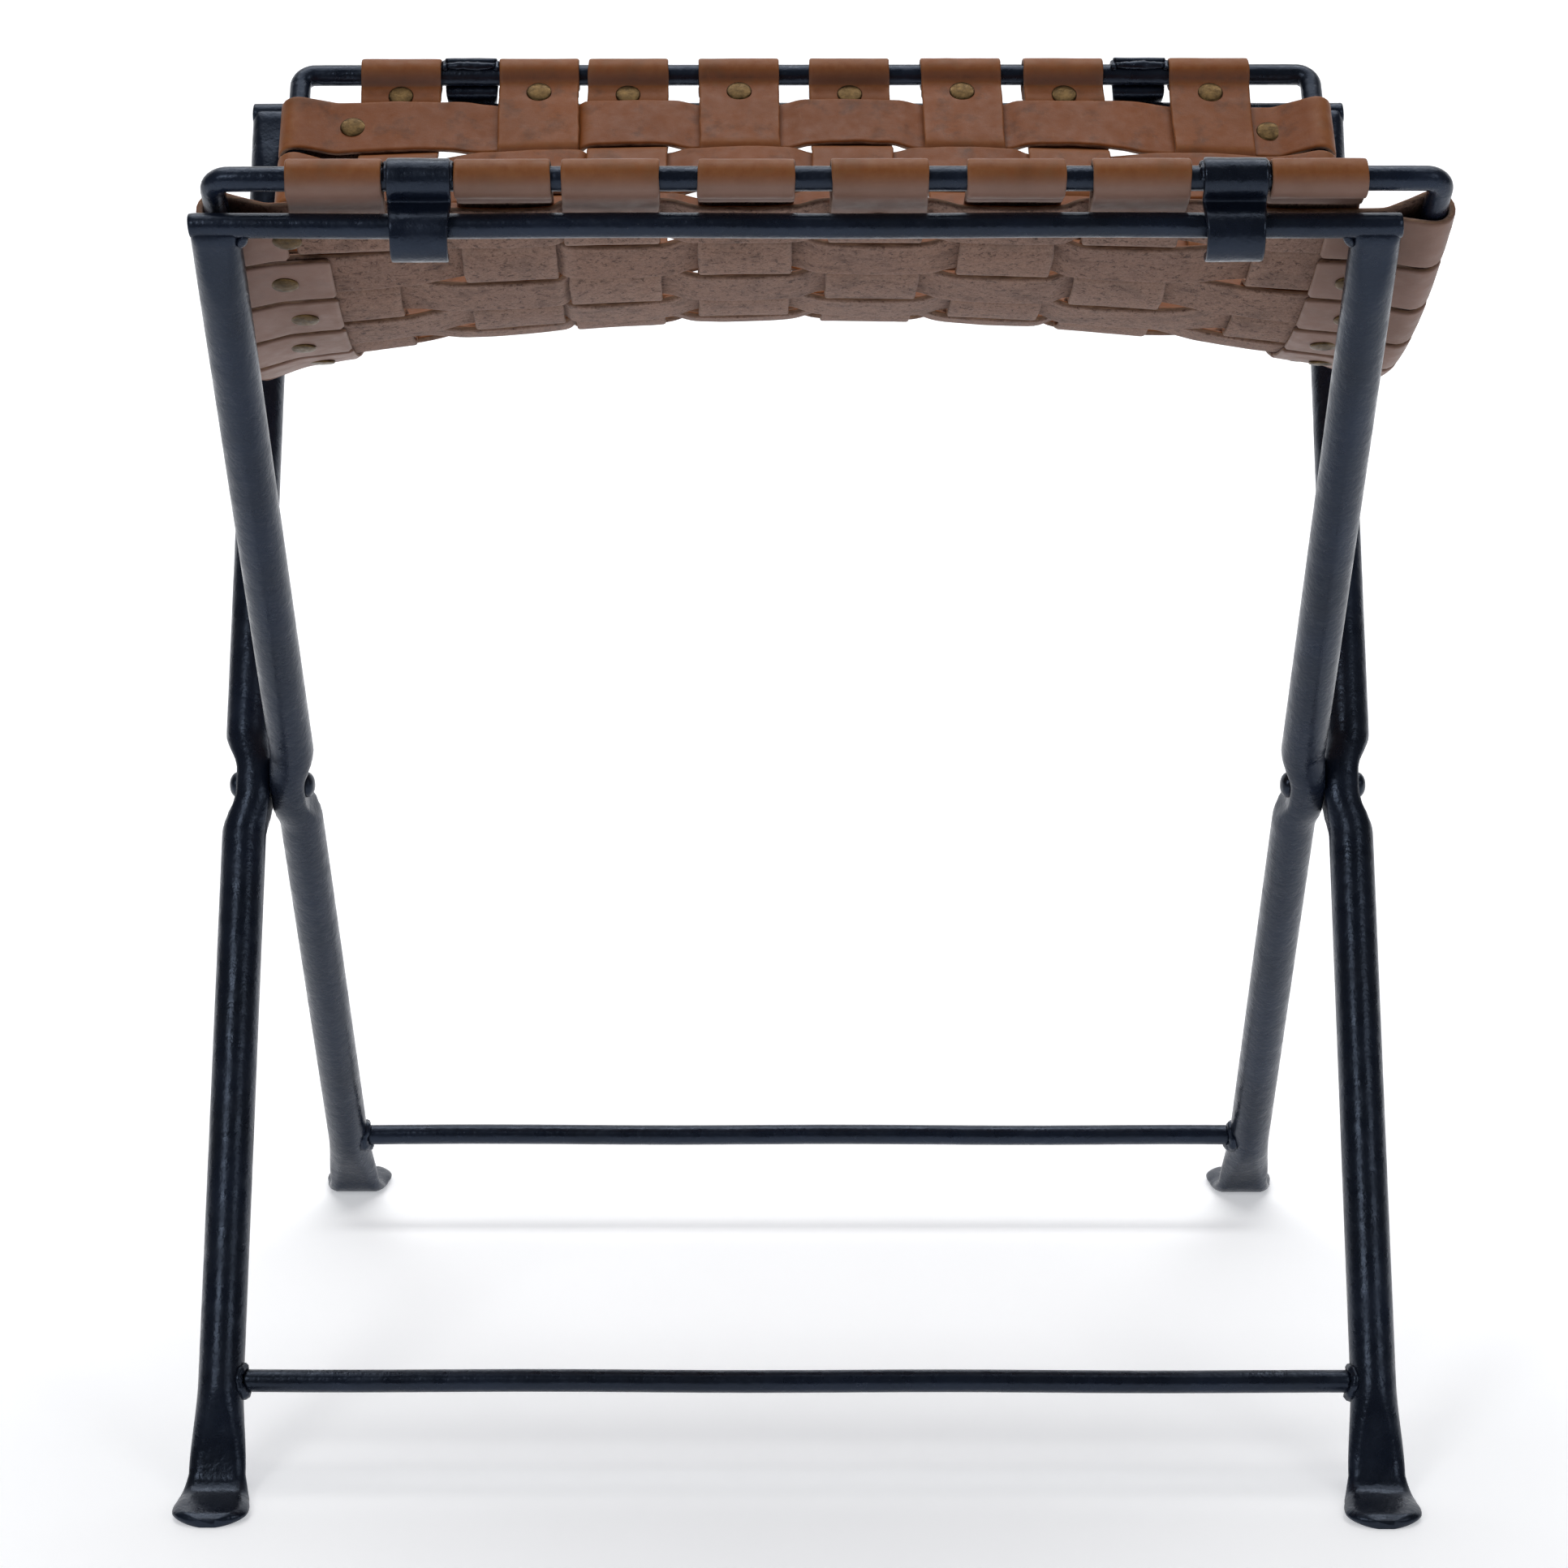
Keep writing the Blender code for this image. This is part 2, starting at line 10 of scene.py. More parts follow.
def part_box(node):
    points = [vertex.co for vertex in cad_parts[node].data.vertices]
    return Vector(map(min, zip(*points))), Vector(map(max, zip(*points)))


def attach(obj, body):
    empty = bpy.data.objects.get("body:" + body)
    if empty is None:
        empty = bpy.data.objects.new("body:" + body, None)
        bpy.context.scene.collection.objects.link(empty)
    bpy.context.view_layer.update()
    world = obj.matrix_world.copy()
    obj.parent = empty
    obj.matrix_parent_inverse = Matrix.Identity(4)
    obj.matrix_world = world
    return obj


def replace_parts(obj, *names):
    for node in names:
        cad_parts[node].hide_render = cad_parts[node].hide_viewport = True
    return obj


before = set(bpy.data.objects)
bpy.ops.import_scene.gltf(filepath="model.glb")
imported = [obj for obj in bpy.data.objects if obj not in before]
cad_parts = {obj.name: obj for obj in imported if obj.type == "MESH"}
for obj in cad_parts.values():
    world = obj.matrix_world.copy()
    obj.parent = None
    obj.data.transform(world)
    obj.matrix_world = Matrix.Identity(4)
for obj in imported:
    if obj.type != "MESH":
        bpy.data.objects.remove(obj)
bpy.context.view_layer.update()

# ---------------------------------------------------------------- sizes read from the frame
rail_lo, rail_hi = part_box("cradle_front_rail")
back_lo, back_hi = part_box("cradle_back_rail")
end_lo, end_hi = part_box("cradle_end_right")
ROD_R = (rail_hi.z - rail_lo.z) / 2
CRADLE_Z = (rail_hi.z + rail_lo.z) / 2
CRADLE_HALF_Y = (back_hi.y + back_lo.y) / 2
CRADLE_SHIFT_X = (rail_hi.x + rail_lo.x + back_hi.x + back_lo.x) / 4
CRADLE_SKEW = (rail_hi.x + rail_lo.x - back_hi.x - back_lo.x) / 4
CRADLE_HALF_X = end_hi.x - ROD_R - CRADLE_SHIFT_X - CRADLE_SKEW
SLING_DEPTH = CRADLE_Z - end_lo.z - ROD_R
top_lo, top_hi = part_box("inner_top_rail")
outer_lo, outer_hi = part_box("outer_top_rail")
RAIL_Z = (top_hi.z + top_lo.z) / 2
RAIL_HALF_Y = (outer_hi.y + outer_lo.y) / 2
TUBE_R = 0.0095
PIVOT_Z = (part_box("pivot_rivet_left")[0].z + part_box("pivot_rivet_left")[1].z) / 2
FOOT_HALF_Y = RAIL_HALF_Y * PIVOT_Z / (RAIL_Z - PIVOT_Z)
INNER_HALF_X, OUTER_HALF_X = top_hi.x - TUBE_R, outer_hi.x - TUBE_R
CRADLE_CORNER = 0.0068
SLING_ARCH, SLING_POWER, SLING_ROUND = 0.020, 1.62, 0.22
GAP = 0.0003
STRAP_T, CROSS_W, WEAVE = 0.0026, 0.0364, 0.0016
CROSS_X = (-0.1842, -0.1212, -0.0808, -0.0302, 0.0200, 0.0710, 0.1175, 0.1838)
ROWS, ROW_START = 11, 0.0175
FLAP_LONG, FLAP_SHORT, FLAP_SIDE, FLAP_SIDE_SHORT = 0.0345, 0.0152, 0.0410, 0.0260
CAP_R, CAP_H = 0.0057, 0.0010
RIVET_LONG, RIVET_SHORT = 0.0215, 0.0137  # from the rail, along a cross strap
ROW_GAP, LONG_GAP, LONG_SPREAD = 0.0034, 0.0032, 0.0020  # between rows, and how far a row spreads in the open
PIVOT_X, PIVOT_HEAD_R, PIVOT_HEAD_H, PIVOT_HEAD_AT = 0.2285, 0.0056, 0.0040, 0.0145
PRESSED_FLAT, PRESSED_BLEND, PRESSED_HALF_T, PRESSED_HALF_W = 0.0045, 0.019, 0.0073, 0.0108
LEG_START, LEG_TOP_HALF_T, LEG_TOP_BLEND = -0.0012, 0.0062, 0.032
FOOT_T, FOOT_HALF_W, FOOT_BEND_R, TOE_LEN = 0.005, 0.0157, 0.013, 0.028
SHANK_HALF_W, SHANK_HALF_T, SHANK_TAPER = 0.0118, 0.0034, 0.046
HOOK_X, HOOK_W, HOOK_T, HOOK_CLAW_R = 0.1525, 0.0240, 0.0028, 0.0079
LEG_SPAN = RAIL_HALF_Y + FOOT_HALF_Y
LEG_ANGLE = math.atan2(LEG_SPAN, RAIL_Z)
WRAP_R = ROD_R + GAP + STRAP_T / 2


# ---------------------------------------------------------------- materials
class Nodes:
    """A node material under construction."""

    def __init__(self, name):
        self.mat = bpy.data.materials.new(name)
        self.mat.use_nodes = True
        self.tree = self.mat.node_tree
        self.shader = self.tree.nodes["Principled BSDF"]
        self.coord = self.tree.nodes.new("ShaderNodeTexCoord").outputs["Object"]

    def new(self, kind, inputs=(), **props):
        node = self.tree.nodes.new("ShaderNode" + kind)
        for key, value in props.items():
            setattr(node, key, value)
        for key, value in dict(inputs).items():
            self.put(node.inputs[key], value)
        return node

    def put(self, socket, value):
        if isinstance(value, bpy.types.NodeSocket):
            self.tree.links.new(value, socket)
        else:
            socket.default_value = value

    def noise(self, scale, detail=3.0, rough=0.5, stretch=None, distortion=0.0):
        where = self.coord
        if stretch:
            where = self.new("Mapping", {"Vector": where, "Scale": stretch}).outputs[0]
        return self.new("TexNoise", {"Vector": where, "Scale": scale, "Detail": detail, "Roughness": rough,
                                     "Distortion": distortion}).outputs["Fac"]

    def cells(self, scale, feature="F1"):
        return self.new("TexVoronoi", {"Vector": self.coord, "Scale": scale}, feature=feature).outputs["Distance"]

    def span(self, value, low, high, to_low=0.0, to_high=1.0):
        return self.new("MapRange", {"Value": value, "From Min": low, "From Max": high, "To Min": to_low,
                                     "To Max": to_high}).outputs["Result"]

    def math(self, op, a, b=0.0):
        return self.new("Math", {0: a, 1: b}, operation=op).outputs[0]

    def mix(self, fac, a, b):
        node = self.new("Mix", {}, data_type="RGBA")
        for socket, value in zip((node.inputs[0], node.inputs[6], node.inputs[7]), (fac, a, b)):
            self.put(socket, (*value, 1.0) if isinstance(value, tuple) else value)
        return node.outputs[2]

    def marks_and_painted_reflection(self):
        """Edge wear, fold, own tone and a painted floor reflection on the downward faces of a strap, from its mesh."""
        node = self.new("Attribute", {}, attribute_name="marks_and_painted_reflection")
        return [*self.new("SeparateColor", {"Color": node.outputs["Color"]}).outputs, node.outputs["Alpha"]]

    def bump(self, layers):
        """(height, strength, distance) layers, one over the other."""
        normal = None
        for height, strength, distance in layers:
            inputs = {"Height": height, "Strength": strength, "Distance": distance}
            if normal:
                inputs["Normal"] = normal
            normal = self.new("Bump", inputs).outputs[0]
        self.put(self.shader.inputs["Normal"], normal)

    def set(self, **values):
        for key, value in values.items():
            self.put(self.shader.inputs[key.replace("_", " ")], value)


def srgb(*rgb):
    return tuple((c / 255 / 12.92) if c <= 10 else ((c / 255 + 0.055) / 1.055) ** 2.4 for c in rgb)


def iron_material():
    n = Nodes("iron_paint")
    tone = n.span(n.noise(26, 4), 0.35, 0.7)
    colour = n.mix(tone, srgb(9, 13, 23), srgb(18, 25, 40))
    specks = n.span(n.cells(300), 0.05, 0.10, 1.0, 0.0)
    patch = n.span(n.noise(38, 3), 0.52, 0.66)
    colour = n.mix(n.math("MULTIPLY", n.math("MULTIPLY", specks, patch), 0.75), colour, srgb(58, 61, 68))
    scuff = n.span(n.noise(90, 6, 0.7, distortion=0.6), 0.70, 0.76)
    colour = n.mix(n.math("MULTIPLY", scuff, 0.5), colour, srgb(48, 38, 32))
    n.set(Base_Color=colour, Metallic=0.0, IOR=1.5, Specular_IOR_Level=0.50,
          Specular_Tint=(0.60, 0.74, 1.0, 1.0),
          Roughness=n.span(n.noise(120, 3), 0.3, 0.7, 0.22, 0.38))
    n.bump([(n.noise(620, 3), 0.32, 0.0005), (n.noise(240, 2), 0.22, 0.0007), (n.noise(60, 2), 0.35, 0.0012)])
    return n.mat


def leather_material(name, base, dark, light, warm, grain):
    n = Nodes(name)
    edge, fold, own, under = n.marks_and_painted_reflection()
    cloud = n.span(n.noise(22, 5, 0.6), 0.3, 0.72)
    colour = n.mix(cloud, base, warm)
    colour = n.mix(n.span(n.noise(75, 4, 0.65), 0.52, 0.78), colour, dark)
    colour = n.mix(n.span(own, 0.0, 1.0, 0.0, 0.55), colour, n.mix(0.5, colour, light))
    if grain:
        pores = n.span(n.cells(1500), 0.05, 0.32, 1.0, 0.0)
        crease = n.span(n.cells(1150, "DISTANCE_TO_EDGE"), 0.0, 0.10, 1.0, 0.0)
        colour = n.mix(n.math("MULTIPLY", pores, 0.30), colour, dark)
        streak = n.span(n.noise(420, 4, 0.7, (1.0, 0.25, 0.25)), 0.60, 0.72)
        colour = n.mix(n.math("MULTIPLY", streak, 0.22), colour, light)
        rough = n.span(n.noise(160, 3), 0.3, 0.7, 0.44, 0.60)
        bumps = [(crease, -0.22, 0.00025), (n.noise(1800, 2), 0.20, 0.0002), (n.noise(95, 3), 0.30, 0.0012)]
    else:
        fibre = n.span(n.noise(900, 6, 0.8), 0.44, 0.62)
        colour = n.mix(n.math("MULTIPLY", fibre, 0.5), colour, dark)
        speck = n.span(n.noise(380, 5, 0.8, distortion=0.8), 0.535, 0.60)
        colour = n.mix(n.math("MULTIPLY", speck, 0.85), colour, srgb(58, 40, 33))
        pale = n.span(n.noise(600, 5, 0.75, distortion=0.5, stretch=(1.3, 1.0, 1.0)), 0.60, 0.68)
        colour = n.mix(n.math("MULTIPLY", pale, 0.5), colour, light)
        rough = n.span(n.noise(300, 3), 0.3, 0.7, 0.78, 0.95)
        bumps = [(n.noise(750, 6, 0.75), 0.55, 0.0007), (n.noise(110, 3), 0.35, 0.0015)]
    worn = n.math("MULTIPLY", n.span(edge, 0.25, 1.0), n.span(n.noise(240, 4, 0.6), 0.25, 0.7))
    colour = n.mix(n.math("MULTIPLY", worn, 0.40 if grain else 0.30), colour, light)
    colour = n.mix(n.math("MULTIPLY", fold, n.span(n.noise(300, 4), 0.3, 0.7, 0.1, 0.45)), colour, light)
    # Painted floor reflection: grain faces that point down or sideways are mixed towards a grey-brown tone.
    if grain:
        painted_reflection_tone = n.mix(cloud, srgb(112, 88, 78), srgb(128, 104, 96))
        colour = n.mix(n.math("MULTIPLY", under, 0.85), colour, painted_reflection_tone)
    n.set(Base_Color=colour, Metallic=0.0, Roughness=rough, Specular_IOR_Level=0.28 if grain else 0.15,
          Sheen_Weight=0.0 if grain else 0.08, Sheen_Roughness=0.5)
    n.bump(bumps)
    return n.mat


def edge_material():
    n = Nodes("leather_edge")
    layers = n.noise(700, 5, 0.7, (0.2, 1.0, 1.0))
    colour = n.mix(n.span(layers, 0.35, 0.65), srgb(92, 66, 50), srgb(150, 116, 92))
    n.set(Base_Color=colour, Roughness=n.span(layers, 0.3, 0.7, 0.6, 0.85))
    n.bump([(layers, 0.5, 0.0006)])
    return n.mat


def brass_material():
    n = Nodes("rivet_brass")
    tarnish = n.span(n.noise(260, 5, 0.7), 0.36, 0.68)
    colour = n.mix(tarnish, srgb(98, 78, 50), srgb(62, 49, 32))
    colour = n.mix(n.span(n.cells(900), 0.05, 0.2, 0.5, 0.0), colour, srgb(52, 40, 30))
    n.set(Base_Color=colour, Metallic=1.0, Roughness=n.span(n.noise(500, 4), 0.3, 0.7, 0.30, 0.52))
    n.bump([(n.noise(420, 3), 0.35, 0.0005)])
    return n.mat


def floor_material():
    n = Nodes("studio_floor")
    colour = n.mix(n.noise(3, 3), (0.86, 0.86, 0.865), (0.90, 0.90, 0.90))
    n.set(Base_Color=colour, Roughness=n.span(n.noise(40, 3), 0.3, 0.7, 0.62, 0.72), Specular_IOR_Level=0.3,
          Emission_Color=(0.94, 0.96, 1.0, 1.0), Emission_Strength=0.42)
    n.bump([(n.noise(300, 2), 0.03, 0.0005)])
    return n.mat


IRON = iron_material()
GRAIN = leather_material("leather_grain", srgb(116, 60, 20), srgb(72, 35, 12), srgb(152, 100, 58),
                         srgb(132, 68, 18), True)
FLESH = leather_material("leather_flesh", srgb(122, 94, 82), srgb(66, 46, 38), srgb(158, 134, 122),
                         srgb(130, 98, 82), False)
EDGE = edge_material()
BRASS = brass_material()


# ---------------------------------------------------------------- mesh helpers
def finish_object(name, bm, mats, body):
    """The bmesh as a smooth object riding its body. Pieces of the cradle are sheared like the CAD cradle."""
    if body == "cradle":
        for vert in bm.verts:
            vert.co.x -= CRADLE_SKEW * vert.co.y / CRADLE_HALF_Y
    mesh = bpy.data.meshes.new(name)
    bm.to_mesh(mesh)
    bm.free()
    mesh.shade_smooth()
    for mat in mats:
        mesh.materials.append(mat)
    obj = bpy.data.objects.new(name, mesh)
    bpy.context.scene.collection.objects.link(obj)
    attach(obj, body)
    return obj


def wobble(p, scale, seed):
    """Smooth noise from -1 to 1 at a point."""
    return noise.noise(Vector((p[0] * scale + seed * 7.31, p[1] * scale - seed * 3.17, p[2] * scale + seed)))


def skin(bm, rings, closed_path=False):
    """Faces between rings of points, with a cap at each end unless the rings close on themselves."""
    loops = [[bm.verts.new(co) for co in ring] for ring in rings]
    pairs = list(zip(loops, loops[1:]))
    if closed_path:
        pairs.append((loops[-1], loops[0]))
    for lower, upper in pairs:
        for k in range(len(lower)):
            n = (k + 1) % len(lower)
            bm.faces.new((lower[k], lower[n], upper[n], upper[k]))
    if not closed_path:
        bm.faces.new(loops[0][::-1])
        bm.faces.new(loops[-1])


def tube(bm, points, radius, sides=20, closed_path=False, dome=0.0, lumps=0.0, seed=0.0):
    """A round bar along the points. dome rounds its ends over that length, lumps makes it a weld bead."""
    pts = [Vector(p) for p in points]
    count = len(pts)
    heads = []
    for k in range(count):
        a = pts[(k - 1) % count] if closed_path else pts[max(k - 1, 0)]
        b = pts[(k + 1) % count] if closed_path else pts[min(k + 1, count - 1)]
        heads.append((b - a).normalized())
    side = heads[0].orthogonal().normalized()
    frames = []
    for head in heads:
        side = (side - head * side.dot(head)).normalized()
        frames.append((side.copy(), head.cross(side)))
    twist = 0.0
    if closed_path:
        last = frames[-1][0] - heads[0] * frames[-1][0].dot(heads[0])
        twist = math.atan2(last.dot(frames[0][1]), last.dot(frames[0][0]))
    rings = []

    def ring(at, u, v, r, turn):
        out = []
        for k in range(sides):
            angle = 2 * math.pi * k / sides - turn
            d = u * math.cos(angle) + v * math.sin(angle)
            size = r * (1 + lumps * wobble(at + d * r, 260, seed)) if lumps else r
            out.append(at + d * size)
        return out

    for k, (at, (u, v)) in enumerate(zip(pts, frames)):
        r = radius(k) if callable(radius) else radius
        if dome and k == 0:
            for t in (0.0, 0.35, 0.7, 0.92):
                rings.append(ring(at - heads[0] * dome * math.sqrt(1 - t * t) + heads[0] * dome, u, v,
                                  r * (1 - dome / r * (1 - t)), 0.0))
        elif dome and k == count - 1:
            for t in (0.92, 0.7, 0.35, 0.0):
                rings.append(ring(at + heads[-1] * dome * math.sqrt(1 - t * t) - heads[-1] * dome, u, v,
                                  r * (1 - dome / r * (1 - t)), 0.0))
        else:
            rings.append(ring(at, u, v, r, twist * k / count if closed_path else 0.0))
    skin(bm, rings, closed_path)


def smooth_step(t):
    t = min(1.0, max(0.0, t))
    return t * t * (3 - 2 * t)


def blur(lines, sigma):
    """Rounds the corners of lines that share their stations. lines: (stations, edges, 3)."""
    mid = lines[:, lines.shape[1] // 2]
    run = np.concatenate([[0], np.cumsum(np.linalg.norm(np.diff(mid, axis=0), axis=1))])
    own = np.gradient(run)
    weight = np.exp(-0.5 * ((run[:, None] - run[None, :]) / sigma) ** 2) * own[None, :]
    weight /= weight.sum(1, keepdims=True)
    return np.einsum("ij,jkl->ikl", weight, lines), run


def thin_out(run, step):
    """Indices about one step apart along a run."""
    wanted = np.linspace(0, run[-1], max(3, int(round(run[-1] / step)) + 1))
    return np.unique(np.searchsorted(run, wanted).clip(0, len(run) - 1))


PROFILE = ((-1.0, 0.42), (-0.985, 0.80), (-0.955, 0.97), (-0.90, 1.0), (-0.68, 1.0), (-0.34, 1.0), (0.0, 1.0),
           (0.34, 1.0), (0.68, 1.0), (0.90, 1.0), (0.955, 0.97), (0.985, 0.80), (1.0, 0.42))


def ribbon(name, mid, mats, own=0.5, thickness=STRAP_T, seed=0.0, rough=1.0, corner=0.0022, body="cradle"):
    """A flat strip with rounded edges around its middle surface. mid: (stations, len(PROFILE), 3)."""
    n, m = mid.shape[:2]
    along = np.gradient(mid, axis=0)
    across = np.gradient(mid, axis=1)
    normal = np.cross(along, across)
    normal /= np.linalg.norm(normal, axis=2, keepdims=True) + 1e-12
    centre = mid[:, m // 2]
    run = np.concatenate([[0], np.cumsum(np.linalg.norm(np.diff(centre, axis=0), axis=1))])
    head = np.gradient(centre, axis=0)
    head /= np.linalg.norm(head, axis=1, keepdims=True)
    turn = np.linalg.norm(np.gradient(head, axis=0), axis=1) / np.maximum(np.gradient(run), 1e-6)
    fold = np.clip((turn - 60) / 90, 0, 1)
    bm = bmesh.new()
    layer = bm.verts.layers.float_color.new("marks_and_painted_reflection")
    uv = bm.loops.layers.uv.new("UVMap")
    grid = {}
    for k in range(n):
        to_end = min(run[k], run[-1] - run[k])
        tip = 1.0
        if to_end < corner:
            tip = math.sqrt(max(0.0, 1 - (1 - to_end / corner) ** 2))
        for e in range(m):
            v, h = PROFILE[e]
            place = centre[k] + (mid[k, e] - centre[k]) * (1 - corner / (CROSS_W / 2) * (1 - tip) * abs(v) ** 3)
            half = thickness / 2 * h * (0.42 + 0.58 * min(1.0, to_end / 0.0009) ** 0.5)
            for face in (1, -1):
                p = Vector(place + normal[k, e] * half * face)
                p += Vector(normal[k, e]) * 0.00012 * rough * wobble(p, 120, seed + face)
                vert = bm.verts.new(p)
                wear = max(0.0, (abs(v) - 0.80) / 0.20, 1 - to_end / 0.004)
                # Painted floor reflection: how far this face points down, stored for the grain's grey-brown tone.
                down = 0.45 - normal[k, e][2] * face
                vert[layer] = (min(1.0, wear), float(fold[k]), own, min(1.0, max(0.0, down / 0.75)))
                grid[k, e, face] = vert

    def quad(a, b, c, d, mat):
        face = bm.faces.new([grid[i] for i in (a, b, c, d)])
        face.material_index = mat
        for loop, (k, e, f) in zip(face.loops, (a, b, c, d)):
            loop[uv].uv = (run[k] * 4 % 50, 0.5 + PROFILE[e][0] * 0.07 + (0.2 if f < 0 else 0))

    side_mat = min(2, len(mats) - 1)
    for k in range(n - 1):
        for e in range(m - 1):
            quad((k, e, 1), (k + 1, e, 1), (k + 1, e + 1, 1), (k, e + 1, 1), 0)
            quad((k, e, -1), (k, e + 1, -1), (k + 1, e + 1, -1), (k + 1, e, -1), min(1, len(mats) - 1))
        quad((k, 0, -1), (k + 1, 0, -1), (k + 1, 0, 1), (k, 0, 1), side_mat)
        quad((k, m - 1, 1), (k + 1, m - 1, 1), (k + 1, m - 1, -1), (k, m - 1, -1), side_mat)
    for e in range(m - 1):
        quad((0, e, 1), (0, e + 1, 1), (0, e + 1, -1), (0, e, -1), side_mat)
        quad((n - 1, e, -1), (n - 1, e + 1, -1), (n - 1, e + 1, 1), (n - 1, e, 1), side_mat)
    return finish_object(name, bm, mats, body)


def dome(bm, centre, axis, radius, height, sides=28, seed=0.0, skirt=0.0006):
    """A low rivet head on a surface."""
    axis = Vector(axis).normalized()
    u = axis.orthogonal().normalized()
    w = axis.cross(u)
    outline = [(1.0, -skirt), (1.0, height * 0.18), (0.955, height * 0.42), (0.86, height * 0.60),
               (0.70, height * 0.78), (0.50, height * 0.91), (0.28, height * 0.98), (0.10, height)]
    rings = []
    for r, h in outline:
        ring = []
        for k in range(sides):
            angle = 2 * math.pi * k / sides
            d = u * math.cos(angle) + w * math.sin(angle)
            size = radius * r * (1 + 0.02 * wobble(Vector(centre) + d * 0.004, 300, seed))
            ring.append(Vector(centre) + d * size + axis * h)
        rings.append(ring)
    skin(bm, rings)


# ---------------------------------------------------------------- legs
def leg(name, side, half_x, press_x, way, body):
    """One leg, in the shape of its CAD solid with finer stations."""
    run = Vector((0, way * math.sin(LEG_ANGLE), -math.cos(LEG_ANGLE)))
    rail = Vector((0, -way * RAIL_HALF_Y, RAIL_Z))
    toe = Vector((0, way, 0))
    corner_run = (RAIL_Z - FOOT_T / 2) / math.cos(LEG_ANGLE)
    pivot_run = (RAIL_Z - PIVOT_Z) / math.cos(LEG_ANGLE)
    turn = math.pi / 2 - LEG_ANGLE
    setback = FOOT_BEND_R * math.tan(turn / 2)
    corner = rail + run * corner_run

    def straight(u):
        near = abs(u - pivot_run)
        press = 1 - smooth_step((near - PRESSED_FLAT) / PRESSED_BLEND)
        forge = smooth_step((u - corner_run + SHANK_TAPER) / (SHANK_TAPER - setback))
        top = 1 - smooth_step((u - LEG_START - 0.005) / LEG_TOP_BLEND)
        a = TUBE_R + (PRESSED_HALF_T - TUBE_R) * press + (SHANK_HALF_W - TUBE_R) * forge
        b = TUBE_R + (PRESSED_HALF_W - TUBE_R) * press + (SHANK_HALF_T - TUBE_R) * forge
        b += (LEG_TOP_HALF_T - TUBE_R) * top
        tip = math.sqrt(max(0.05, 1 - max(0.0, (0.0024 - (u - LEG_START)) / 0.0026) ** 2))
        a, b = a * (0.88 + 0.12 * tip), b * tip
        shift = (press_x - half_x) * press
        return rail + run * u, run, a, b, 1 + 0.45 * press, 1 + 0.30 * max(forge, top), shift

    runs = list(np.linspace(LEG_START, LEG_START + 0.037, 12))
    runs += list(np.linspace(LEG_START + 0.06, pivot_run - 0.045, 6))
    runs += list(np.linspace(pivot_run - 0.030, pivot_run + 0.030, 31))
    runs += list(np.linspace(pivot_run + 0.045, corner_run - SHANK_TAPER - 0.02, 7))
    runs += list(np.linspace(corner_run - SHANK_TAPER, corner_run - setback, 16))
    stations = [straight(u) for u in runs]
    normal = Vector((0, way * math.cos(LEG_ANGLE), math.sin(LEG_ANGLE)))
    centre = corner - run * setback + normal * FOOT_BEND_R
    for k in range(1, 9):
        t = k / 8
        angle = turn * t
        heading = run * math.cos(angle) + normal * math.sin(angle)
        across = normal * math.cos(angle) - run * math.sin(angle)
        a = SHANK_HALF_W + (0.93 * FOOT_HALF_W - SHANK_HALF_W) * t
        b = SHANK_HALF_T + (FOOT_T / 2 - SHANK_HALF_T) * t
        stations.append((centre - across * FOOT_BEND_R, heading, a, b, 1.0, 1.45, 0.0))
    for t in np.linspace(0.1, 1.0, 16):
        reach = 1.0 - (1.0 - t) ** 1.6
        rounding = math.sqrt(max(0.0, 1 - max(0.0, (reach - 0.50) / 0.515) ** 2.3))
        wide = (0.93 + 0.07 * smooth_step(reach / 0.4)) * rounding
        place = corner + toe * (setback + (TOE_LEN - setback) * reach)
        thick = FOOT_T / 2 * (1 - 0.25 * smooth_step((reach - 0.8) / 0.2))
        middle = place - Vector((0, 0, FOOT_T / 2 - thick))
        stations.append((middle, toe, max(wide, 0.2) * FOOT_HALF_W, thick, 1.0, 1.45, 0.0))
    rings = []
    sides = 36
    for middle, heading, a, b, flat_x, flat_w, shift in stations:
        across = Vector((0, -heading.z, heading.y))
        ring = []
        for k in range(sides):
            angle = 2 * math.pi * (k + 0.5) / sides
            px = a * max(-1.0, min(1.0, flat_x * math.cos(angle)))
            pw = b * max(-1.0, min(1.0, flat_w * math.sin(angle)))
            ring.append(middle + Vector((side * (half_x + shift) + px, 0, 0)) + across * pw)
        rings.append(ring)
    bm = bmesh.new()
    skin(bm, rings)
    obj = finish_object(name, bm, [IRON], body)
    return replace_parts(obj, name.replace("_tube", ""))


def leg_point(z, way):
    """Y of a leg's centre line at a height."""
    return -way * RAIL_HALF_Y + way * LEG_SPAN * (1 - z / RAIL_Z)


STRETCHER_Z = (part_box("inner_stretcher")[0].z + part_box("inner_stretcher")[1].z) / 2
for side in (-1, 1):
    word = "left" if side < 0 else "right"
    leg(f"inner_leg_{word}_tube", side, INNER_HALF_X, PIVOT_X - PRESSED_HALF_T - GAP / 2, 1, "inner_frame")
    leg(f"outer_leg_{word}_tube", side, OUTER_HALF_X, PIVOT_X + PRESSED_HALF_T + GAP / 2, -1, "outer_frame")
    bm = bmesh.new()
    for out in (-1, 1):
        head = (side * PIVOT_X + out * side * PIVOT_HEAD_AT, 0.0, PIVOT_Z)
        dome(bm, head, (out * side, 0, 0), PIVOT_HEAD_R, PIVOT_HEAD_H, 32, side + out)
    tube(bm, [(side * PIVOT_X - 0.0140, 0, PIVOT_Z), (side * PIVOT_X + 0.0140, 0, PIVOT_Z)], 0.003)
    obj = finish_object(f"pivot_head_{word}", bm, [IRON], "inner_frame")
    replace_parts(obj, f"pivot_rivet_{word}")


